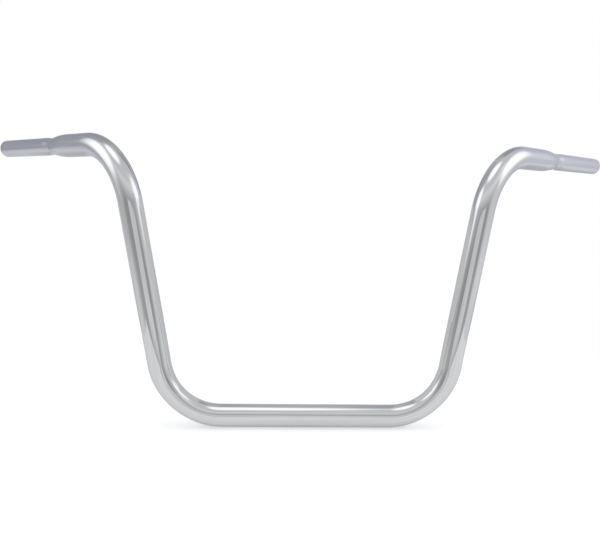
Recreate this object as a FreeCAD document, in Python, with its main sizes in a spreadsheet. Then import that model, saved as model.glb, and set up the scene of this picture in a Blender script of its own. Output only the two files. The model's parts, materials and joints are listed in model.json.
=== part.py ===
import FreeCAD, Part
import math
import os
import Sketcher

# A one-piece motorcycle handlebar, bent from round steel tube. Lengths in millimetres, angles in degrees.
# The origin is the middle of the clamp straight. +X runs along that straight to one end of the bar,
# +Z is up between the risers, and +Y is the way that the grips are pulled back.

NODE = "handlebar_tube"

SIZES = (
    ("tube_diameter", 31.75, "outside of the main tube, 1 1/4 in"),
    ("tube_wall", 2.4, "wall of the main tube"),
    ("clamp_straight", 231, "straight stretch between the lower bends"),
    ("bend_radius", 85, "centre line radius of the four bends"),
    ("bend_depth", 29.9, "outside of the tube at the middle of a bend, in the plane of the bend"),
    ("riser_splay", 9, "lean of each riser out from upright"),
    ("riser_straight", 219, "straight stretch between a lower and an upper bend"),
    ("grip_sweep", 44, "turn of each grip back from the line of the clamp straight"),
    ("arm_straight", 52, "straight stretch from an upper bend to its shoulder"),
    ("shoulder_length", 41, "stretch over which the tube is swaged down to the neck"),
    ("neck_diameter", 23.2, "outside at the foot of the shoulder"),
    ("neck_hollow", 6, "radius of the hollow at the foot of the shoulder"),
    ("neck_length", 20, "stretch over which the neck widens to the grip"),
    ("grip_diameter", 25.4, "outside of the grip, 1 in"),
    ("grip_wall", 2.9, "wall of the grip, thickened by the swaging"),
    ("grip_length", 151, "foot of the shoulder to the open end"),
    ("rim_chamfer", 0.8, "chamfer on both edges of the open end"),
)

# Turns of the centre line, as formulas of the sheet. An upper bend lies in the plane of its riser and grip,
# which is the plane of the lower bends rolled about the riser.
LOWER_TURN = "(90 - sizes.riser_splay)"
UPPER_TURN = f"(acos(cos{LOWER_TURN} * cos(sizes.grip_sweep)) / 1 deg)"
UPPER_ROLL = f"(-acos(-sin{LOWER_TURN} * cos(sizes.grip_sweep) / sin{UPPER_TURN}) / 1 deg)"

# Sketch planes in a frame whose X runs along the tube: square to the tube, and in the plane of the bend.
ACROSS = "placement(vector(0; 0; 0); rotation(vector(1; 1; 1); 120))"
ALONG = "placement(vector(0; 0; 0); rotation(vector(1; 0; 0); 90))"

doc = FreeCAD.newDocument("handlebar")
sheet = doc.addObject("Spreadsheet::Sheet", "sizes")
for row, (alias, value, meaning) in enumerate(SIZES, start=1):
    sheet.set(f"A{row}", alias)
    sheet.set(f"B{row}", str(value))
    sheet.setAlias(f"B{row}", alias)
    sheet.set(f"C{row}", meaning)
doc.recompute()
size = {alias: float(sheet.get(alias)) for alias, value, meaning in SIZES}

body = doc.addObject("PartDesign::Body", NODE)
body.Label = NODE
planes = {feature.Role: feature for feature in body.Origin.OriginFeatures}


def attach(item, placement):
    """Hang a sketch or a frame on the body's XY plane, placed by a formula."""
    item.AttachmentSupport = [(planes["XY_Plane"], "")]
    item.MapMode = "FlatFace"
    item.setExpression("AttachmentOffset", placement)


def add_frame(name, placement):
    frame = body.newObject("PartDesign::CoordinateSystem", name)
    attach(frame, placement)
    return frame


def add_sketch(name, placement):
    sketch = body.newObject("Sketcher::SketchObject", name)
    attach(sketch, placement)
    return sketch


def tie(sketch, kind, *where):
    """Add a constraint. In it 1 and 2 are an edge's start and end, 3 is a centre, -1 and -2 are the axes."""
    return sketch.addConstraint(Sketcher.Constraint(kind, *where))


def drive(sketch, label, formula, value, kind, *where):
    """Add a named dimension with its starting value, and bind it to a formula of the sheet."""
    sketch.renameConstraint(tie(sketch, kind, *where, value), label)
    sketch.setExpression(f"Constraints.{label}", formula)


def along_bend(turn):
    """Placement at an angle along a bend that starts at its frame's origin and curls towards its Z."""
    ahead = f"sizes.bend_radius * sin({turn})"
    aside = f"sizes.bend_radius * (1 - cos({turn}))"
    return f"placement(vector({ahead}; 0; {aside}); rotation(vector(0; 1; 0); -{turn}))"


def round_section(name, placement):
    """The straight tube cut square: two circles."""
    sketch = add_sketch(name, f"{placement} * {ACROSS}")
    outside = size["tube_diameter"]
    inside = outside - 2 * size["tube_wall"]
    for label, diameter, formula in (
        ("outside", outside, "sizes.tube_diameter"),
        ("inside", inside, "sizes.tube_diameter - 2 * sizes.tube_wall"),
    ):
        circle = Part.Circle(FreeCAD.Vector(0, 0, 0), FreeCAD.Vector(0, 0, 1), diameter / 2)
        index = sketch.addGeometry(circle)
        tie(sketch, "Coincident", index, 3, -1, 1)
        drive(sketch, label, formula, diameter, "Diameter", index)
    return sketch


def oval_section(name, placement):
    """The tube cut square at the middle of a bend: two ellipses, flattened in the plane of the bend."""
    sketch = add_sketch(name, f"{placement} * {ACROSS}")
    for label, less, less_formula in (
        ("outside", 0, ""),
        ("inside", 2 * size["tube_wall"], " - 2 * sizes.tube_wall"),
    ):
        width = size["tube_diameter"] - less
        depth = size["bend_depth"] - less
        wide_point = FreeCAD.Vector(width / 2, 0, 0)
        deep_point = FreeCAD.Vector(0, depth / 2, 0)
        index = sketch.addGeometry(Part.Ellipse(wide_point, deep_point, FreeCAD.Vector(0, 0, 0)))
        sketch.exposeInternalGeometry(index)
        wide_axis = index + 1
        deep_axis = index + 2
        tie(sketch, "Coincident", index, 3, -1, 1)
        tie(sketch, "Horizontal", wide_axis)
        drive(sketch, f"{label}_width", f"sizes.tube_diameter{less_formula}", width, "Distance", wide_axis)
        drive(sketch, f"{label}_depth", f"sizes.bend_depth{less_formula}", depth, "Distance", deep_axis)
    return sketch


def bend(name, frame, turn, degrees, first, last):
    """Sweep the tube round a bend that starts at a frame: round section, oval section, round section."""
    path = add_sketch(f"{name}_path", f"{frame.Name}.Placement * {ALONG}")
    radius = size["bend_radius"]
    start = -math.pi / 2
    circle = Part.Circle(FreeCAD.Vector(0, radius, 0), FreeCAD.Vector(0, 0, 1), radius)
    centre_line = path.addGeometry(Part.ArcOfCircle(circle, start, start + math.radians(degrees)))
    tie(path, "Coincident", centre_line, 1, -1, 1)
    tie(path, "PointOnObject", centre_line, 3, -2)
    drive(path, "radius", "sizes.bend_radius", radius, "Radius", centre_line)
    drive(path, "turn", f"{turn} * 1 deg", math.radians(degrees), "Angle", centre_line)

    half_turn = f"({turn} / 2)"
    oval = oval_section(f"{name}_oval", f"{frame.Name}.Placement * {along_bend(half_turn)}")
    pipe = body.newObject("PartDesign::AdditivePipe", name)
    pipe.Profile = (first, [""])
    pipe.Spine = (path, ["Edge1"])
    pipe.Transformation = "Multisection"
    pipe.Sections = [(oval, [""]), (last, [""])]
    return pipe


def straight(name, section, formula):
    pad = body.newObject("PartDesign::Pad", name)
    pad.Profile = (section, [""])
    pad.setExpression("Length", formula)
    return pad


# Frames at the tangent points of one side, each with X along the tube and Z towards the next bend's centre.
middle = add_frame("middle", "placement(vector(0; 0; 0); rotation(vector(1; 0; 0); 0))")
to_clamp_end = "placement(vector(sizes.clamp_straight / 2; 0; 0); rotation(vector(1; 0; 0); 0))"
clamp_end = add_frame("clamp_end", f"middle.Placement * {to_clamp_end}")
riser_foot = add_frame("riser_foot", f"clamp_end.Placement * {along_bend(LOWER_TURN)}")
up_riser = f"placement(vector(sizes.riser_straight; 0; 0); rotation(vector(1; 0; 0); {UPPER_ROLL}))"
riser_top = add_frame("riser_top", f"riser_foot.Placement * {up_riser}")
arm_root = add_frame("arm_root", f"riser_top.Placement * {along_bend(UPPER_TURN)}")

# The tube from the middle of the bar to the end of the upper bend.
lower_degrees = 90 - size["riser_splay"]
sweep = math.radians(size["grip_sweep"])
upper_degrees = math.degrees(math.acos(math.cos(math.radians(lower_degrees)) * math.cos(sweep)))

clamp = straight("clamp", round_section("middle_section", "middle.Placement"), "sizes.clamp_straight")
clamp.SideType = "Symmetric"
clamp_section = round_section("clamp_section", "clamp_end.Placement")
foot_section = round_section("foot_section", "riser_foot.Placement")
lower_bend = bend("lower_bend", clamp_end, LOWER_TURN, lower_degrees, clamp_section, foot_section)
riser = straight("riser", foot_section, "sizes.riser_straight")
top_section = round_section("top_section", "riser_top.Placement")
arm_section = round_section("arm_section", "arm_root.Placement")
upper_bend = bend("upper_bend", riser_top, UPPER_TURN, upper_degrees, top_section, arm_section)

# The arm, its shoulder and the grip: one profile, turned about the grip's axis. The shoulder is an arc that
# leaves the arm smoothly. At its foot a hollow arc joins it to the neck, which widens to the grip.
outer = size["tube_diameter"] / 2
bore = outer - size["tube_wall"]
neck = size["neck_diameter"] / 2
grip = size["grip_diameter"] / 2
grip_bore = grip - size["grip_wall"]
chamfer = size["rim_chamfer"]
hollow = size["neck_hollow"]
shoulder = size["arm_straight"]
foot = shoulder + size["shoulder_length"]
grip_start = foot + size["neck_length"]
end = foot + size["grip_length"]


def point(ahead, out):
    return FreeCAD.Vector(ahead, out, 0)


def line(first, last):
    return Part.LineSegment(point(*first), point(*last))


def arc(centre, radius, first, last):
    return Part.ArcOfCircle(Part.Circle(centre, FreeCAD.Vector(0, 0, 1), radius), first, last)


def shoulder_radius(drop):
    """Radius of an arc that leaves a straight smoothly and falls this far over the shoulder."""
    return (size["shoulder_length"] ** 2 + drop ** 2) / (2 * drop)


outer_radius = shoulder_radius(outer - neck)
inner_radius = shoulder_radius(bore - grip_bore)
outer_centre = point(shoulder, outer - outer_radius)
inner_centre = point(shoulder, bore - inner_radius)
inner_angle = math.atan2(grip_bore - inner_centre.y, foot - shoulder)
hollow_rise = neck + hollow - outer_centre.y
hollow_run = math.sqrt((outer_radius + hollow) ** 2 - hollow_rise ** 2)
hollow_centre = point(shoulder + hollow_run, neck + hollow)
hollow_angle = math.atan2(hollow_rise, hollow_run)
upright = math.pi / 2

profile = add_sketch("grip_profile", f"arm_root.Placement * {ALONG}")
ARM = profile.addGeometry(line((0, outer), (shoulder, outer)))
SHOULDER = profile.addGeometry(arc(outer_centre, outer_radius, hollow_angle, upright))
HOLLOW = profile.addGeometry(arc(hollow_centre, hollow, hollow_angle + math.pi, 3 * upright))
NECK = profile.addGeometry(line((hollow_centre.x, neck), (grip_start, grip)))
GRIP = profile.addGeometry(line((grip_start, grip), (end - chamfer, grip)))
RIM = profile.addGeometry(line((end - chamfer, grip), (end, grip - chamfer)))
FACE = profile.addGeometry(line((end, grip - chamfer), (end, grip_bore + chamfer)))
INNER_RIM = profile.addGeometry(line((end, grip_bore + chamfer), (end - chamfer, grip_bore)))
GRIP_BORE = profile.addGeometry(line((end - chamfer, grip_bore), (foot, grip_bore)))
INNER_SHOULDER = profile.addGeometry(arc(inner_centre, inner_radius, inner_angle, upright))
BORE = profile.addGeometry(line((shoulder, bore), (0, bore)))
ROOT = profile.addGeometry(line((0, bore), (0, outer)))
FOOT = profile.addGeometry(Part.Point(point(foot, neck)), True)

for level in (ARM, GRIP, GRIP_BORE, BORE):
    tie(profile, "Horizontal", level)
tie(profile, "Vertical", FACE)
tie(profile, "PointOnObject", ROOT, 1, -2)
tie(profile, "PointOnObject", ROOT, 2, -2)
tie(profile, "Coincident", ROOT, 2, ARM, 1)
tie(profile, "Tangent", ARM, 2, SHOULDER, 2)
tie(profile, "Tangent", SHOULDER, 1, HOLLOW, 1)
tie(profile, "Tangent", HOLLOW, 2, NECK, 1)
tie(profile, "Coincident", NECK, 2, GRIP, 1)
tie(profile, "Coincident", GRIP, 2, RIM, 1)
tie(profile, "Coincident", RIM, 2, FACE, 1)
tie(profile, "Coincident", FACE, 2, INNER_RIM, 1)
tie(profile, "Coincident", INNER_RIM, 2, GRIP_BORE, 1)
tie(profile, "Coincident", GRIP_BORE, 2, INNER_SHOULDER, 1)
tie(profile, "Tangent", INNER_SHOULDER, 2, BORE, 1)
tie(profile, "Coincident", BORE, 2, ROOT, 1)
tie(profile, "PointOnObject", FOOT, 1, SHOULDER)
tie(profile, "PointOnObject", FOOT, 1, NECK)
tie(profile, "Vertical", GRIP_BORE, 2, FOOT, 1)
tie(profile, "Vertical", BORE, 1, ARM, 2)
drive(profile, "tube_radius", "sizes.tube_diameter / 2", outer, "DistanceY", -1, 1, ARM, 1)
drive(profile, "tube_wall", "sizes.tube_wall", size["tube_wall"], "DistanceY", ROOT, 1, ROOT, 2)
drive(profile, "arm", "sizes.arm_straight", shoulder, "DistanceX", ARM, 1, ARM, 2)
drive(profile, "shoulder", "sizes.shoulder_length", foot - shoulder, "DistanceX", ARM, 2, FOOT, 1)
drive(profile, "neck_radius", "sizes.neck_diameter / 2", neck, "DistanceY", -1, 1, FOOT, 1)
drive(profile, "neck_hollow", "sizes.neck_hollow", hollow, "Radius", HOLLOW)
drive(profile, "neck", "sizes.neck_length", grip_start - foot, "DistanceX", FOOT, 1, GRIP, 1)
drive(profile, "grip_radius", "sizes.grip_diameter / 2", grip, "DistanceY", -1, 1, GRIP, 1)
drive(profile, "grip_wall", "sizes.grip_wall", size["grip_wall"], "DistanceY", GRIP_BORE, 1, GRIP, 2)
drive(profile, "grip", "sizes.grip_length", end - foot, "DistanceX", FOOT, 1, FACE, 1)
drive(profile, "rim_length", "sizes.rim_chamfer", chamfer, "DistanceX", RIM, 1, RIM, 2)
drive(profile, "rim_height", "sizes.rim_chamfer", chamfer, "DistanceY", RIM, 2, RIM, 1)
drive(profile, "inner_rim_length", "sizes.rim_chamfer", chamfer, "DistanceX", INNER_RIM, 2, INNER_RIM, 1)
drive(profile, "inner_rim_height", "sizes.rim_chamfer", chamfer, "DistanceY", INNER_RIM, 2, INNER_RIM, 1)

grip_end = body.newObject("PartDesign::Revolution", "grip_end")
grip_end.Profile = (profile, [""])
grip_end.ReferenceAxis = (profile, ["H_Axis"])
grip_end.Angle = 360

# The other side of the bar is the mirror image of this one.
other_side = body.newObject("PartDesign::Mirrored", "other_side")
other_side.Originals = [lower_bend, riser, upper_bend, grip_end]
other_side.MirrorPlane = (planes["YZ_Plane"], [""])
body.Tip = other_side
doc.recompute()

failed = [item.Name for item in doc.Objects if {"Invalid", "Error"} & set(item.State)]
if failed:
    raise RuntimeError(f"features that failed: {failed}")
if body.Shape.isNull() or not body.Shape.isValid() or len(body.Shape.Solids) != 1:
    raise RuntimeError(f"{NODE} is not one valid solid")

os.makedirs("parts", exist_ok=True)
body.Shape.exportStep(f"parts/{NODE}.step")
print(NODE, "volume", round(body.Shape.Volume), "mm3, faces", len(body.Shape.Faces))
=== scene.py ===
# %% [markdown]
# # A chrome motorcycle handlebar
# The real bar is one steel tube. It is bent four times, its two ends are swaged down to take the
# grips, and then it is polished and chrome plated. So this lesson has one piece to model, one
# finish, and a studio for it to mirror. A mirror hides nothing: any flat facet or kink in the mesh
# bends its reflections, so the tube is modelled afresh with many fine loops, on the centre line of
# the loaded part.

# %% Load the frame
import json
import math

import bpy
from mathutils import Matrix, Vector


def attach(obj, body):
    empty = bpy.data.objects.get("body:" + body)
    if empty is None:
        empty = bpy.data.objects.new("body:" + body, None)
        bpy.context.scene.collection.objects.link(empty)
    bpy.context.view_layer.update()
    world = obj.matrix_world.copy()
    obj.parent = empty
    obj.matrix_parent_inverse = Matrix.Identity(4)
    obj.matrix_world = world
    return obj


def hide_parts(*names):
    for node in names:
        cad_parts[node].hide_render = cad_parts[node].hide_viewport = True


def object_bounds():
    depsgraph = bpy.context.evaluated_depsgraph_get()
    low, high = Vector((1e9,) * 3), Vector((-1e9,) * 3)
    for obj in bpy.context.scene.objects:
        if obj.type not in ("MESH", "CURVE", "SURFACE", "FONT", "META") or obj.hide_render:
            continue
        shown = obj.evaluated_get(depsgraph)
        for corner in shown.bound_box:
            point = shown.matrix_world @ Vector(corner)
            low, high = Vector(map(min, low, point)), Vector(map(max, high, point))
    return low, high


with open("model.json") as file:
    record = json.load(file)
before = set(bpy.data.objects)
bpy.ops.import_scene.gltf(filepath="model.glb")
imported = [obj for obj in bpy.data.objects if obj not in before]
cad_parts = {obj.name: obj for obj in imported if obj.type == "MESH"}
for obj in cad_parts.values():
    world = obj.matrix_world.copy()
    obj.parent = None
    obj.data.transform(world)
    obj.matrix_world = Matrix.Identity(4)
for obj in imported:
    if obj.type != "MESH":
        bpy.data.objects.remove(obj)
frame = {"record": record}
cad_low, cad_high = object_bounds()
print("CAD box in metres:", [round(side, 4) for side in cad_high - cad_low])

# %% [markdown]
# ## Sizes
# The loaded part tells where a clamp holds the bar and where the grips slide on. From those places
# the script works out the whole centre line, so only sizes that no mount tells are written here.

# %% Sizes that the mounts tell
MM = 0.001
mounts = {mount["name"]: mount for mount in frame["record"]["mounts"]}


def mount_span(name):
    """Where a mount starts and ends along its axis, and its radius, in metres."""
    mount = mounts[name]
    half = Vector(mount["axis"]).normalized() * mount["dims"]["length_mm"] * MM / 2
    middle = Vector(mount["pos_m"])
    return middle - half, middle + half, mount["dims"]["r_mm"] * MM


_, clamp_right, tube_radius = mount_span("centre_clamp")
grip_start, grip_stop, grip_radius = mount_span("right_grip")
neck_foot, bore_stop, grip_bore = mount_span("right_end_bore")
print("tube and grip diameters in mm:", 2 * tube_radius / MM, 2 * grip_radius / MM)

# %% Sizes that no mount tells
TUBE_WALL = 2.4 * MM
BEND_RADIUS = 85 * MM
BEND_DEPTH = 29.9 * MM
RISER_SPLAY = math.radians(9)
SHOULDER_LENGTH = 41 * MM
NECK_RADIUS = 11.6 * MM
NECK_HOLLOW = 6 * MM
RIM_ROUND = 0.8 * MM
tube_bore = tube_radius - TUBE_WALL
print("bore of the tube in mm:", round(2 * tube_bore / MM, 2))

# %% The centre line of the right half
along_clamp = Vector((1, 0, 0))
up_riser = Vector((math.sin(RISER_SPLAY), 0, math.cos(RISER_SPLAY)))
along_grip = (grip_stop - grip_start).normalized()
lower_turn = along_clamp.angle(up_riser)
upper_turn = up_riser.angle(along_grip)
lower_reach = BEND_RADIUS * math.tan(lower_turn / 2)
upper_reach = BEND_RADIUS * math.tan(upper_turn / 2)

lower_corner = clamp_right + along_clamp * lower_reach
upper_corner = lower_corner + up_riser * (grip_start.z - lower_corner.z) / up_riser.z
riser_foot = lower_corner + up_riser * lower_reach
riser_top = upper_corner - up_riser * upper_reach
arm_root = upper_corner + along_grip * upper_reach
shoulder_start = neck_foot - along_grip * SHOULDER_LENGTH


def square_to(ahead, other):
    """The direction nearest to other that is square to ahead."""
    return (other - ahead * other.dot(ahead)).normalized()


lower_centre = clamp_right + square_to(along_clamp, up_riser) * BEND_RADIUS
upper_centre = riser_top + square_to(up_riser, along_grip) * BEND_RADIUS
print("riser and arm straights in mm:", [
    round((riser_top - riser_foot).length / MM, 2),
    round((shoulder_start - arm_root).length / MM, 2),
])

# %% [markdown]
# ## Camera
# The bar is photographed from a little above its middle, slightly turned, with a normal lens. The
# lens is not aimed at the middle of the picture, so the camera has a small shift. Turning it
# further instead would make the upright lines lean.

# %% Camera
PICTURE_WIDTH = 600
PICTURE_HEIGHT = 560
SENSOR_MM = 36
LENS_MM = 41
LENS_AIM = (346.96, 300.21)
CAMERA_PLACE = (-0.0103, -0.9169, 0.3037)
CAMERA_TURN = math.radians(3.94)
CAMERA_TILT = math.radians(8.69)
CAMERA_ROLL = math.radians(1.52)

camera_data = bpy.data.cameras.new("photo_camera")
camera_data.sensor_width = SENSOR_MM
camera_data.lens = LENS_MM
camera_data.shift_x = (PICTURE_WIDTH / 2 - LENS_AIM[0]) / PICTURE_WIDTH
camera_data.shift_y = (LENS_AIM[1] - PICTURE_HEIGHT / 2) / PICTURE_WIDTH
camera_data.clip_start = 10 * MM

camera = bpy.data.objects.new("photo_camera", camera_data)
bpy.context.collection.objects.link(camera)
aim = Matrix.Rotation(-CAMERA_TURN, 4, "Z") @ Matrix.Rotation(-CAMERA_TILT, 4, "X")
level_view = Matrix.Rotation(-CAMERA_ROLL, 4, "Y") @ Matrix.Rotation(math.radians(90), 4, "X")
camera.matrix_world = Matrix.Translation(CAMERA_PLACE) @ aim @ level_view
bpy.context.scene.camera = camera
print("camera at", CAMERA_PLACE)
print("camera shift", round(camera_data.shift_x, 4), round(camera_data.shift_y, 4))

# %% [markdown]
# ## The tube
# A curve with a round bevel would give a bent tube, but not its narrow ends or its bore. A person
# at a tube bender feeds the tube, turns it and feeds again. The same is done here with one ring of
# edges: extrude it along each straight, and spin it round each bend. Only the right half is
# modelled, and a mirror makes the left. A bent tube is pressed a little flat in the plane of its
# bend, so each ring of a bend is scaled there too.

# %% A ring to start from
RING_POINTS = 96

bpy.ops.object.select_all(action="DESELECT")
bpy.ops.mesh.primitive_circle_add(
    vertices=RING_POINTS, radius=tube_radius, location=(0, 0, 0), rotation=(0, math.radians(90), 0)
)
bar = bpy.context.object
bar.name = "chrome_handlebar"
bpy.ops.object.transform_apply(location=True, rotation=True, scale=True)
bpy.ops.object.mode_set(mode="EDIT")
bpy.ops.mesh.select_all(action="SELECT")
print("ring of", RING_POINTS, "points")

# %% Tools for feeding and bending the ring
FLATTENING = tube_radius - BEND_DEPTH / 2


def feed(step, loops):
    """Extrude the selected ring along a straight, in equal loops."""
    for _ in range(loops):
        bpy.ops.mesh.extrude_region_move(TRANSFORM_OT_translate={"value": step / loops})


def bend(centre, start, ahead, turn, loops, radius):
    """Spin the selected ring round a bend, loop by loop, pressed flatter towards the middle."""
    towards = (centre - start).normalized()
    axis = ahead.cross(towards)
    share_before = 1
    for loop in range(1, loops + 1):
        # With no window, spin turns left-handed about its axis.
        bpy.ops.mesh.spin(steps=1, angle=turn / loops, center=centre, axis=-axis)
        turned = Matrix.Rotation(turn * loop / loops, 3, axis)
        out = turned @ -towards
        from_middle = 2 * loop / loops - 1
        share = 1 - FLATTENING / radius * (1 - from_middle**2) ** 2
        bpy.ops.transform.resize(
            value=(share / share_before, 1, 1),
            orient_type="GLOBAL",
            orient_matrix_type="GLOBAL",
            orient_matrix=(out, axis, turned @ ahead),
            constraint_axis=(True, False, False),
            center_override=centre + out * BEND_RADIUS,
        )
        share_before = share


print("each bend presses the tube flat by", round(2 * FLATTENING / MM, 2), "mm")

# %% Feed and bend the outside
CLAMP_LOOPS = 12
BEND_LOOPS = 54
RISER_LOOPS = 20
ARM_LOOPS = 6

feed(clamp_right, CLAMP_LOOPS)
bend(lower_centre, clamp_right, along_clamp, lower_turn, BEND_LOOPS, tube_radius)
feed(riser_top - riser_foot, RISER_LOOPS)
bend(upper_centre, riser_top, up_riser, upper_turn, BEND_LOOPS, tube_radius)
feed(shoulder_start - arm_root, ARM_LOOPS)
print("outside fed to the shoulder, at", [round(x, 4) for x in shoulder_start])

# %% [markdown]
# ## Shoulder, grip and rim
# A swaging press rolls the end of the tube down to the grip. Its shoulder starts tangent to the
# tube and dips into a small hollow at the foot, and the neck then widens a little to the grip. This
# stretch is drawn as a lathe profile, a list of distances and radii worked out from arcs, and each
# step is an extrude with a resize.

# %% Profile of the outside
SHOULDER_LOOPS = 18
HOLLOW_LOOPS = 6
NECK_LOOPS = 6
GRIP_LOOPS = 12
neck_length = (grip_start - neck_foot).length
bar_end = SHOULDER_LENGTH + (bore_stop - neck_foot).length + RIM_ROUND
rim_from = bar_end - RIM_ROUND


def shoulder_arc(drop):
    """Radius of an arc that leaves a straight smoothly and falls this far over the shoulder."""
    return (SHOULDER_LENGTH**2 + drop**2) / (2 * drop)


def shares(count):
    """Even steps from just over 0 up to 1."""
    return [step / count for step in range(1, count + 1)]


outer_arc = shoulder_arc(tube_radius - NECK_RADIUS)
hollow_rise = outer_arc - (tube_radius - NECK_RADIUS) + NECK_HOLLOW
hollow_run = math.sqrt((outer_arc + NECK_HOLLOW) ** 2 - hollow_rise**2)
meet = math.atan2(hollow_run, hollow_rise)

outside = []
for share in shares(SHOULDER_LOOPS):
    angle = meet * share
    ahead = outer_arc * math.sin(angle)
    outside.append((ahead, tube_radius - outer_arc * (1 - math.cos(angle))))
for share in shares(HOLLOW_LOOPS):
    angle = meet * (1 - share)
    ahead = hollow_run - NECK_HOLLOW * math.sin(angle)
    outside.append((ahead, NECK_RADIUS + NECK_HOLLOW * (1 - math.cos(angle))))
for share in shares(NECK_LOOPS):
    ahead = hollow_run + (SHOULDER_LENGTH + neck_length - hollow_run) * share
    widens = share**2 * (3 - 2 * share)
    outside.append((ahead, NECK_RADIUS + (grip_radius - NECK_RADIUS) * widens))
grip_from = outside[-1][0]
for share in shares(GRIP_LOOPS):
    outside.append((grip_from + (rim_from - grip_from) * share, grip_radius))
print("outside profile of", len(outside), "loops")

# %% Profile of the rim and the bore
RIM_LOOPS = 5
GRIP_BORE_LOOPS = 10
SHOULDER_BORE_LOOPS = 12
QUARTER_TURN = math.pi / 2
inner_arc = shoulder_arc(tube_bore - grip_bore)
wide_angle = math.asin(SHOULDER_LENGTH / inner_arc)

rim = []
for share in shares(RIM_LOOPS):
    angle = QUARTER_TURN * share
    ahead = bar_end - RIM_ROUND * (1 - math.sin(angle))
    rim.append((ahead, grip_radius - RIM_ROUND * (1 - math.cos(angle))))
for share in [0] + shares(RIM_LOOPS):
    angle = QUARTER_TURN * share
    ahead = bar_end - RIM_ROUND * (1 - math.cos(angle))
    rim.append((ahead, grip_bore + RIM_ROUND * (1 - math.sin(angle))))

bore = []
for share in shares(GRIP_BORE_LOOPS):
    bore.append((rim_from + (SHOULDER_LENGTH - rim_from) * share, grip_bore))
for share in shares(SHOULDER_BORE_LOOPS):
    angle = wide_angle * (1 - share)
    ahead = inner_arc * math.sin(angle)
    bore.append((ahead, tube_bore - inner_arc * (1 - math.cos(angle))))
print("rim and bore profile of", len(rim) + len(bore), "loops")


# %% Draw the end out and turn it in
def draw_profile(profile):
    """Extrude the ring along the grip's axis and resize it, loop by loop, from the shoulder on."""
    before = shoulder_start
    radius_before = tube_radius
    for ahead, radius in profile:
        centre = shoulder_start + along_grip * ahead
        feed(centre - before, 1)
        bpy.ops.transform.resize(value=(radius / radius_before,) * 3, center_override=centre)
        before = centre
        radius_before = radius


draw_profile(outside + rim + bore)
print("end drawn out to", [round(x, 4) for x in shoulder_start + along_grip * bar_end])

# %% Walk back along the bore
ARM_BORE_LOOPS = 3
BEND_BORE_LOOPS = 36
RISER_BORE_LOOPS = 8
CLAMP_BORE_LOOPS = 6

feed(arm_root - shoulder_start, ARM_BORE_LOOPS)
bend(upper_centre, arm_root, -along_grip, upper_turn, BEND_BORE_LOOPS, tube_bore)
feed(riser_foot - riser_top, RISER_BORE_LOOPS)
bend(lower_centre, riser_foot, -up_riser, lower_turn, BEND_BORE_LOOPS, tube_bore)
feed(-clamp_right, CLAMP_BORE_LOOPS)
bpy.ops.object.mode_set(mode="OBJECT")
print("half a bar of", len(bar.data.polygons), "faces")

# %% Mirror, merge and smooth
SEAM_GAP = 0.01 * MM
DOUBLE_GAP = 0.005 * MM
CREASE_ANGLE = math.radians(40)

mirror = bar.modifiers.new("other_side", "MIRROR")
mirror.merge_threshold = SEAM_GAP
bpy.ops.object.modifier_apply(modifier="other_side")

bpy.ops.object.mode_set(mode="EDIT")
bpy.ops.mesh.select_all(action="SELECT")
bpy.ops.mesh.remove_doubles(threshold=DOUBLE_GAP)
bpy.ops.mesh.normals_make_consistent(inside=False)
bpy.ops.object.mode_set(mode="OBJECT")
bpy.ops.object.shade_smooth_by_angle(angle=CREASE_ANGLE)
print("whole bar of", len(bar.data.vertices), "points and", len(bar.data.polygons), "faces")

# %% [markdown]
# ## A map of the straight tube
# Polishing leaves its marks along and around the tube, also through the bends. Noise on the
# object's own X, Y and Z would cut across a bent tube. So each point of the mesh also stores where
# it was on the straight tube: both bends are undone, one after the other, and the finish reads that
# place. Unlike a UV map it has no seam.


# %% Where each point was before bending
def unbend(point, centre, start, ahead, turn):
    """Undo one bend for a point that lies past its start, and leave the others."""
    if (point - start).dot(ahead) <= 0:
        return point
    towards = (centre - start).normalized()
    arm = point - centre
    angle = min(math.atan2(arm.dot(ahead), -arm.dot(towards)), turn)
    unturned = Matrix.Rotation(-angle, 3, ahead.cross(towards)) @ arm
    return centre + unturned + ahead * BEND_RADIUS * angle


def straight_place(point):
    """The point's place on the straight tube, with X along it and Y and Z across it."""
    side = -1 if point.x < 0 else 1
    place = Vector((abs(point.x), point.y, point.z))
    place = unbend(place, upper_centre, riser_top, up_riser, upper_turn)
    place = unbend(place, lower_centre, clamp_right, along_clamp, lower_turn)
    return side * place.x, place.y, place.z


places = bar.data.attributes.new("straight_place", "FLOAT_VECTOR", "POINT")
longest = 0
for vertex, stored in zip(bar.data.vertices, places.data):
    stored.vector = straight_place(vertex.co)
    longest = max(longest, abs(stored.vector.x))
print("the straight tube is", round(2 * longest, 3), "m long")

# %% [markdown]
# ## Chrome
# Chrome plate is a bluish mirror that gives back a little under two thirds of the light. It is
# never perfect: the tube under it was polished along its length, so fine streaks run along the bar,
# a touch duller than the rest. It waves a little, as a drawn tube does, and its gloss is hazier in
# places. All of it is noise on the straight map, which a mapping stretches along the tube.


# %% Helpers for materials
def new_material(name):
    """A material with an empty node tree and its output node."""
    material = bpy.data.materials.new(name)
    material.use_nodes = True
    material.node_tree.nodes.clear()
    return material, material.node_tree, material.node_tree.nodes.new("ShaderNodeOutputMaterial")


def set_input(tree, socket, value):
    """Link another node's output to a socket, or set the socket to a plain value."""
    if isinstance(value, bpy.types.NodeSocket):
        tree.links.new(value, socket)
    else:
        socket.default_value = value


def add_node(tree, kind, settings=None, **inputs):
    """Add a node, set its options, and set or link its inputs by name."""
    node = tree.nodes.new(kind)
    for option, value in (settings or {}).items():
        setattr(node, option, value)
    for name, value in inputs.items():
        set_input(tree, node.inputs[name.replace("_", " ")], value)
    return node


print("helpers for materials are ready")

# %% Marks of polishing
STREAK_SCALE = (7, 420, 420)
WAVE_SCALE = (18, 60, 60)
HAZE_SCALE = (9, 120, 120)

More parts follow.
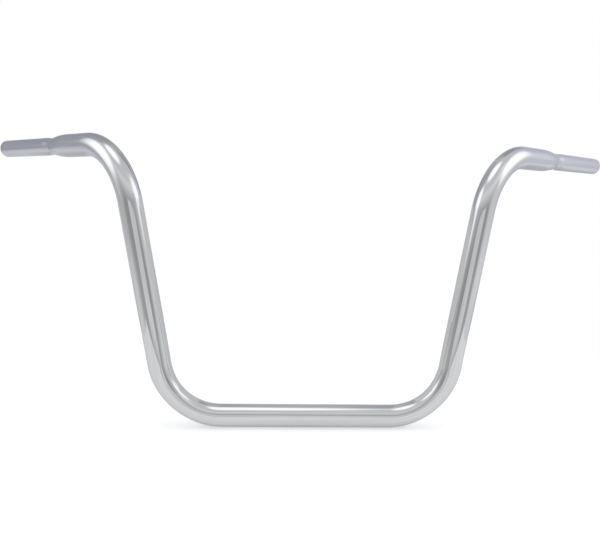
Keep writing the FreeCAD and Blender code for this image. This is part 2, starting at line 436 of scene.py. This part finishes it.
chrome, tree, output = new_material("polished_chrome")
stored_place = add_node(tree, "ShaderNodeAttribute", {"attribute_name": "straight_place"})


def tube_noise(scale, **options):
    """Noise on the straight map, at so many spots per metre along and across the tube."""
    place = stored_place.outputs["Vector"]
    spots = add_node(tree, "ShaderNodeMapping", Vector=place, Scale=scale).outputs["Vector"]
    return add_node(tree, "ShaderNodeTexNoise", Vector=spots, Scale=1, **options).outputs["Fac"]


streaks = tube_noise(STREAK_SCALE, Detail=3, Roughness=0.6)
waves = tube_noise(WAVE_SCALE, Detail=1)
haze = tube_noise(HAZE_SCALE, Detail=4)
print("streaks, waves and haze on the straight map")

# %% Chrome finish
STREAK_COLOUR = (0.535, 0.54, 0.548, 1)
PLATE_COLOUR = (0.61, 0.615, 0.624, 1)
EDGE_TINT = (0.72, 0.73, 0.75, 1)
WAVE_DEPTH = 0.05 * MM
STREAK_DEPTH = 0.015 * MM
NOISE_LOW = 0.3
NOISE_HIGH = 0.7
CLEAR_ROUGHNESS = 0.03
HAZY_ROUGHNESS = 0.08

plate = add_node(tree, "ShaderNodeValToRGB", Fac=streaks)
for stop, position, colour in zip(
    plate.color_ramp.elements, (NOISE_LOW, NOISE_HIGH), (STREAK_COLOUR, PLATE_COLOUR)
):
    stop.position = position
    stop.color = colour
wave_bump = add_node(tree, "ShaderNodeBump", Height=waves, Strength=1, Distance=WAVE_DEPTH)
streak_bump = add_node(
    tree,
    "ShaderNodeBump",
    Height=streaks,
    Strength=1,
    Distance=STREAK_DEPTH,
    Normal=wave_bump.outputs["Normal"],
)
gloss = add_node(
    tree,
    "ShaderNodeMapRange",
    Value=haze,
    From_Min=NOISE_LOW,
    From_Max=NOISE_HIGH,
    To_Min=CLEAR_ROUGHNESS,
    To_Max=HAZY_ROUGHNESS,
)
shader = add_node(
    tree,
    "ShaderNodeBsdfPrincipled",
    Base_Color=plate.outputs["Color"],
    Metallic=1,
    Specular_Tint=EDGE_TINT,
    Roughness=gloss.outputs["Result"],
    Normal=streak_bump.outputs["Normal"],
)
tree.links.new(shader.outputs["BSDF"], output.inputs["Surface"])
bar.data.materials.append(chrome)
print("chrome finish of", len(tree.nodes), "nodes")

# %% The bar takes its place in the frame
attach(bar, "root")
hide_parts("handlebar_tube")
print(bar.name, "stands for the packed tube")

# %% [markdown]
# ## Studio
# Chrome shows the room more than itself, so the room is designed with it. Shiny goods are
# photographed in a tent of white cloth with lamps behind the cloth. Here the tent is a sphere whose
# upper half is drawn up into a high dome, so that a lamp overhead looks the same from the clamp
# straight and from the upper bends. It is open behind the bar, where the white background shows.
# The camera looks through the cloth, but the chrome mirrors it.

# %% White background
world = bpy.data.worlds.new("white_background")
world.use_nodes = True
world.node_tree.nodes["Background"].inputs["Color"].default_value = (1, 1, 1, 1)
world.node_tree.nodes["Background"].inputs["Strength"].default_value = 1
bpy.context.scene.world = world
bpy.context.scene.view_settings.view_transform = "Standard"
print("background", world.name)

# %% Tent
TENT_RADIUS = 1.2
TENT_SEGMENTS = 64
TENT_RINGS = 32
TENT_OPENING = math.radians(20)
DOME_START = 0.42
DOME_STRETCH = 3.3
tent_middle = Vector((0, 0, (cad_low.z + cad_high.z) / 2))

bpy.ops.object.select_all(action="DESELECT")
bpy.ops.mesh.primitive_uv_sphere_add(
    segments=TENT_SEGMENTS, ring_count=TENT_RINGS, radius=TENT_RADIUS
)
tent = bpy.context.object
tent.name = "light_tent"
bpy.ops.object.mode_set(mode="EDIT")
bpy.ops.mesh.select_all(action="SELECT")
bpy.ops.mesh.bisect(
    plane_co=(0, TENT_RADIUS * math.cos(TENT_OPENING), 0), plane_no=(0, 1, 0), clear_outer=True
)
bpy.ops.mesh.select_all(action="DESELECT")
bpy.ops.object.mode_set(mode="OBJECT")
for vertex in tent.data.vertices:
    vertex.select = vertex.co.z > DOME_START
bpy.ops.object.mode_set(mode="EDIT")
bpy.ops.transform.resize(value=(1, 1, DOME_STRETCH), center_override=(0, 0, DOME_START))
bpy.ops.object.mode_set(mode="OBJECT")
tent.location = tent_middle
tent.visible_camera = False
tent.visible_shadow = False
print("tent of", len(tent.data.polygons), "faces")

# %% [markdown]
# ### Light on the cloth
# Every bright or dark stripe on a polished tube is a patch of the room, squeezed across the tube.
# So lamps and screens are painted on the cloth by direction, in degrees: three round lamps give the
# white highlights on the bends and the clamp straight, a grey screen in front gives the dark
# stripes along the risers, and the slot in it, where the camera looks in, gives the light stripe
# between them. Weak shades at the left and the back give the two-toned grips and the dark upper
# edges of the bends.


# %% Helpers for light by direction
def calc(tree, operation, *values):
    """A Math node. Each value is a number or another node's output."""
    node = add_node(tree, "ShaderNodeMath", {"operation": operation})
    for socket, value in zip(node.inputs, values):
        set_input(tree, socket, value)
    return node.outputs["Value"]


def ramp(tree, value, starts, full):
    """Rises smoothly from 0, where the value starts, to 1."""
    smooth = {"interpolation_type": "SMOOTHSTEP"}
    node = add_node(
        tree, "ShaderNodeMapRange", smooth, Value=value, From_Min=starts, From_Max=full
    )
    return node.outputs["Result"]


def window(tree, value, starts, full, still_full, ends):
    """Rises smoothly from 0 to 1, stays there for a while, and falls back to 0."""
    rises = ramp(tree, value, starts, full)
    return calc(tree, "MULTIPLY", rises, ramp(tree, value, ends, still_full))


print("helpers for light are ready")

# %% Where on the cloth
IN_DEGREES = math.degrees(1)

cloth, tree, output = new_material("tent_cloth")
place = add_node(tree, "ShaderNodeTexCoord").outputs["Object"]
ray = add_node(tree, "ShaderNodeVectorMath", {"operation": "NORMALIZE"}, Vector=place)
split = add_node(tree, "ShaderNodeSeparateXYZ", Vector=ray.outputs["Vector"]).outputs
turn = calc(tree, "ARCTAN2", split["X"], calc(tree, "MULTIPLY", split["Y"], -1))
turn = calc(tree, "MULTIPLY", turn, IN_DEGREES)
height = calc(tree, "MULTIPLY", calc(tree, "ARCSINE", split["Z"]), IN_DEGREES)
print("cloth measured by turn from the camera to the right, and by height, in degrees")

# %% Lamps behind the cloth
# Turn and height of the middle, how far from it the glow is full, where it ends, and how much light
# it adds.
LAMPS = {
    "left_lamp": (-81, 32, 9, 27, 0.85),
    "right_lamp": (84, 33, 9, 27, 0.85),
    "top_lamp": (-52, 79, 9, 22, 0.85),
}
CLOTH_LEVEL = 0.86


def direction(turn, height):
    """Unit vector from the bar, for a turn from the camera and a height above level, in degrees."""
    turn = math.radians(turn)
    height = math.radians(height)
    level = Vector((math.sin(turn), -math.cos(turn), 0)) * math.cos(height)
    return level + Vector((0, 0, math.sin(height)))


light = CLOTH_LEVEL
for lamp_turn, lamp_height, full, ends, adds in LAMPS.values():
    near = add_node(tree, "ShaderNodeVectorMath", {"operation": "DOT_PRODUCT"})
    set_input(tree, near.inputs[0], ray.outputs["Vector"])
    set_input(tree, near.inputs[1], direction(lamp_turn, lamp_height))
    rim_near = math.cos(math.radians(ends))
    full_near = math.cos(math.radians(full))
    glow = ramp(tree, near.outputs["Value"], rim_near, full_near)
    light = calc(tree, "MULTIPLY_ADD", glow, adds, light)
print("tent cloth with", len(LAMPS), "lamps")

# %% Screens in front of the cloth
# Turns and heights where each screen starts, is full, is still full and ends, and how much light it
# adds.
SCREENS = {
    "light_from_floor": ((-125, -112, 112, 125), (-91, -90, -12, 0), 0.1),
    "front_screen": ((-78, -44, 36, 60), (-91, -90, 2, 30), -0.4),
    "camera_slot": ((-22, -18, 19, 25), (-19, -9, 8, 11), 0.42),
    "front_glow": ((-60, -30, 40, 64), (24, 35, 39, 50), 0.14),
    "left_side_shade": ((-112, -95, -75, -60), (-14, -2, 0, 5), -0.16),
    "left_low_shade": ((-150, -128, -104, -90), (1, 4, 14, 20), -0.27),
    "left_low_light": ((-150, -136, -118, -108), (-13, -7, -3, 2), 0.1),
    "left_rear_shade": ((-200, -190, -126, -108), (-40, -30, -14, -6), -0.05),
    "left_high_shade": ((-174, -158, -114, -90), (14, 20, 60, 76), -0.29),
    "back_left_shade": ((-200, -190, -174, -158), (32, 44, 60, 78), -0.16),
    "back_left_line": ((-200, -190, -170, -158), (14, 20, 28, 36), -0.3),
    "back_right_line": ((140, 152, 190, 200), (14, 20, 28, 36), -0.3),
    "back_right_shade": ((158, 174, 190, 200), (32, 44, 60, 78), -0.16),
    "right_high_shade": ((118, 150, 158, 174), (32, 44, 60, 78), -0.36),
    "right_rear_shade": ((116, 130, 190, 200), (-40, -30, 0, 6), -0.08),
    "right_side_light": ((58, 72, 122, 140), (-16, -8, 22, 34), 0.07),
    "right_low_light": ((109, 118, 124, 136), (-12, -7, -3, 1), 0.18),
    "right_wide_glow": ((80, 96, 108, 128), (7, 16, 30, 46), 0.13),
    "right_front_glow": ((38, 50, 62, 74), (26, 34, 56, 66), 0.16),
}

for turns, heights, adds in SCREENS.values():
    share = calc(tree, "MULTIPLY", window(tree, turn, *turns), window(tree, height, *heights))
    light = calc(tree, "MULTIPLY_ADD", share, adds, light)
print("tent cloth with", len(SCREENS), "screens")

# %% [markdown]
# ### Cool light, cards and the floor
# Daylight from both sides turns the arms and grips a little blue. Cards stand edge-on to the
# camera between the risers, so the inner side of each riser mirrors a card and not the other
# riser. They glow as brightly as the cloth: painted light in place of what white cards would
# reflect.
# The cards fade out upwards, so that the highlights on the upper bends start softly. The pale floor
# touches the bar and takes its shadow. Its lift makes it white for the camera and for the chrome,
# without more light on the bar.

# %% Cool daylight at both sides
SIDE_TURNS = (96, 108, 135, 160)
SIDE_HEIGHTS = (-24, 16)
SIDE_BLUE = 0.12
CLOTH_RED = 0.99

side = calc(tree, "ABSOLUTE", turn)
low_to_high = ramp(tree, height, *SIDE_HEIGHTS)
cool = calc(tree, "MULTIPLY", window(tree, side, *SIDE_TURNS), low_to_high)
blue = calc(tree, "MULTIPLY_ADD", cool, SIDE_BLUE, 1)
tint = add_node(tree, "ShaderNodeCombineColor", Red=CLOTH_RED, Green=1, Blue=blue)
glow = add_node(tree, "ShaderNodeEmission", Color=tint.outputs["Color"], Strength=light)
tree.links.new(glow.outputs["Emission"], output.inputs["Surface"])
tent.data.materials.append(cloth)
print("tent cloth of", len(tree.nodes), "nodes")

# %% Glowing board that fades out upwards
CARD_FADE = 0.28
CARD_TOP = 0.37

board, tree, output = new_material("glowing_white_board")
place = add_node(tree, "ShaderNodeTexCoord").outputs["Object"]
up = add_node(tree, "ShaderNodeSeparateXYZ", Vector=place).outputs["Z"]
# The board glows as brightly as the cloth: painted light in place of the tent light a white card
# would reflect.
glow = add_node(tree, "ShaderNodeEmission", Color=(CLOTH_RED, 1, 1, 1), Strength=CLOTH_LEVEL)
clear = add_node(tree, "ShaderNodeBsdfTransparent")
mix = add_node(tree, "ShaderNodeMixShader", Fac=ramp(tree, up, CARD_FADE, CARD_TOP))
tree.links.new(glow.outputs["Emission"], mix.inputs[1])
tree.links.new(clear.outputs["BSDF"], mix.inputs[2])
tree.links.new(mix.outputs["Shader"], output.inputs["Surface"])
print("board fades out from", CARD_FADE, "to", CARD_TOP, "m")

# %% Glowing cards between the risers
# Where each card starts and ends from front to back, and its lower edge.
CARDS = {
    "wide_card": (0.04, 0.55, 0.04),
    "narrow_card": (-0.02, 0.04, 0.14),
}

for name, (front, back, bottom) in CARDS.items():
    bpy.ops.object.select_all(action="DESELECT")
    bpy.ops.mesh.primitive_plane_add(size=1, rotation=(0, math.radians(90), 0))
    card = bpy.context.object
    card.name = name
    card.scale = (CARD_TOP - bottom, back - front, 1)
    card.location = (CAMERA_PLACE[0], (front + back) / 2, (bottom + CARD_TOP) / 2)
    bpy.ops.object.transform_apply(location=True, rotation=True, scale=True)
    card.visible_camera = False
    card.visible_shadow = False
    card.data.materials.append(board)
print(len(CARDS), "white cards, edge-on to the camera")

# %% Floor
FLOOR_WIDTH = 1.2
FLOOR_FRONT = -0.5
FLOOR_BACK = 0.8
FLOOR_GAP = 0.2 * MM

bpy.ops.object.select_all(action="DESELECT")
bpy.ops.mesh.primitive_plane_add(
    size=1, location=(0, (FLOOR_FRONT + FLOOR_BACK) / 2, cad_low.z - FLOOR_GAP)
)
floor = bpy.context.object
floor.name = "pale_floor"
floor.scale = (FLOOR_WIDTH, FLOOR_BACK - FLOOR_FRONT, 1)
bpy.ops.object.transform_apply(location=False, rotation=False, scale=True)
print("floor", FLOOR_WIDTH, "m wide and", FLOOR_BACK - FLOOR_FRONT, "m deep")

# %% Paper on the floor
FLOOR_COLOUR = (0.6, 0.6, 0.6, 1)
FLOOR_LIFT = 0.5

paper, tree, output = new_material("pale_paper")
path = add_node(tree, "ShaderNodeLightPath").outputs
seen = calc(tree, "MAXIMUM", path["Is Camera Ray"], path["Is Glossy Ray"])
seen = calc(tree, "MAXIMUM", seen, path["Is Transmission Ray"])
matte = add_node(
    tree,
    "ShaderNodeBsdfPrincipled",
    Base_Color=FLOOR_COLOUR,
    Roughness=1,
    Specular_IOR_Level=0,
    Emission_Color=(1, 1, 1, 1),
    Emission_Strength=calc(tree, "MULTIPLY", seen, FLOOR_LIFT),
)
tree.links.new(matte.outputs["BSDF"], output.inputs["Surface"])
floor.data.materials.append(paper)
print("paper of", len(tree.nodes), "nodes")
